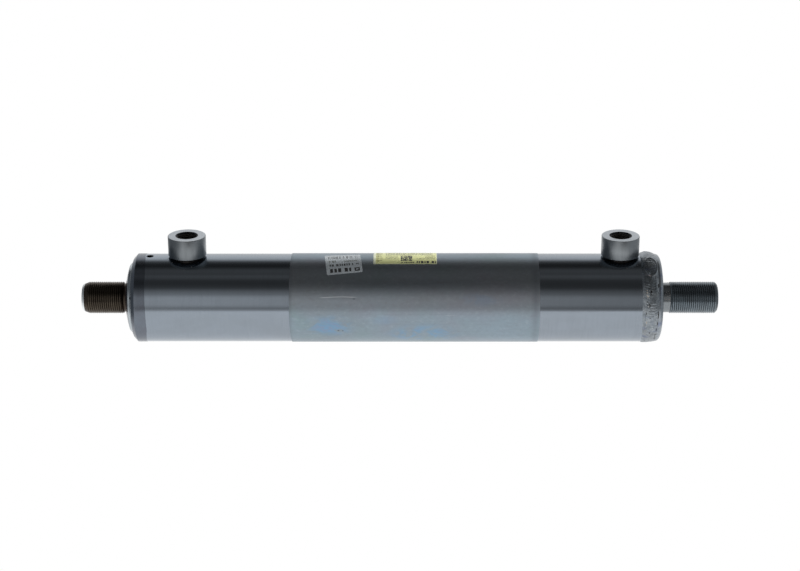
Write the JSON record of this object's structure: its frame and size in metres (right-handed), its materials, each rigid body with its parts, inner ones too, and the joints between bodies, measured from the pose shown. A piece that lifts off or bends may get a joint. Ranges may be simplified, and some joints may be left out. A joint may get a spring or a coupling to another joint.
{
  "type": "hydraulic cylinder",
  "caption": "Double-acting hydraulic cylinder with a bare steel barrel, threaded studs on cap and rod, and side-facing threaded oil ports; the rod slides out and turns.",
  "frame": {"origin": "on the cylinder's axis, in the plane of the cap's outer face that the cap stud stands on", "axes": "+X along the axis out of the cap stud, -X out of the rod, +Z towards the side with the two ports, +Y to the right of an observer who looks along -X with the ports up"},
  "size_m": [0.6071, 0.0872, 0.1066],
  "materials": {
    "tube_steel": "turned and drawn bare steel, oiled",
    "cap_steel": "turned bare steel",
    "weld_metal": "as-welded, dull with light spatter",
    "boss_steel": "turned bare steel, fine facing marks",
    "gland_steel": "turned bare steel",
    "rod_chrome": "hard chrome on the sliding length, brown-black phosphate on the threaded end",
    "spring_steel": "drawn wire",
    "seal_rubber": "moulded nitrile",
    "seal_polyurethane": "moulded polyurethane",
    "guide_composite": "woven resin composite",
    "bronze_ptfe": "bronze-filled plastic",
    "piston_steel": "turned bare steel",
    "nut_steel": "zinc flake",
    "screw_steel": "black oxide",
    "label_white": null,
    "label_yellow": null
  },
  "bodies": {
    "barrel": {"barrel_tube": "tube_steel", "end_cap": "cap_steel", "cap_weld_bead": "weld_metal", "rod_side_port_boss": "boss_steel", "cap_side_port_boss": "boss_steel", "rod_side_port_weld": "weld_metal", "cap_side_port_weld": "weld_metal", "gland": "gland_steel", "gland_lock_wire": "spring_steel", "gland_o_ring": "seal_rubber", "gland_backup_ring": "bronze_ptfe", "rod_guide_ring_front": "guide_composite", "rod_guide_ring_rear": "guide_composite", "rod_seal": "seal_polyurethane", "rod_wiper": "seal_polyurethane", "info_label": "label_white", "caution_label": "label_yellow"},
    "piston_rings": {"piston_guide_ring_front": "guide_composite", "piston_guide_ring_rear": "guide_composite"},
    "rod_assembly": {"piston_rod": "rod_chrome", "piston": "piston_steel", "piston_seal_ring": "bronze_ptfe", "piston_seal_energizer": "seal_rubber", "piston_rod_o_ring": "seal_rubber", "piston_nut": "nut_steel", "nut_set_screw": "screw_steel"}
  },
  "joints": [
    {"name": "rod_slide", "type": "slide", "parent": "barrel", "child": "piston_rings", "axis": [-1, 0, 0], "range_m": [0, 0.35]},
    {"name": "rod_spin", "type": "hinge", "parent": "piston_rings", "child": "rod_assembly", "pos_m": [-0.2, 0, 0], "axis": [-1, 0, 0], "continuous": true}
  ]
}
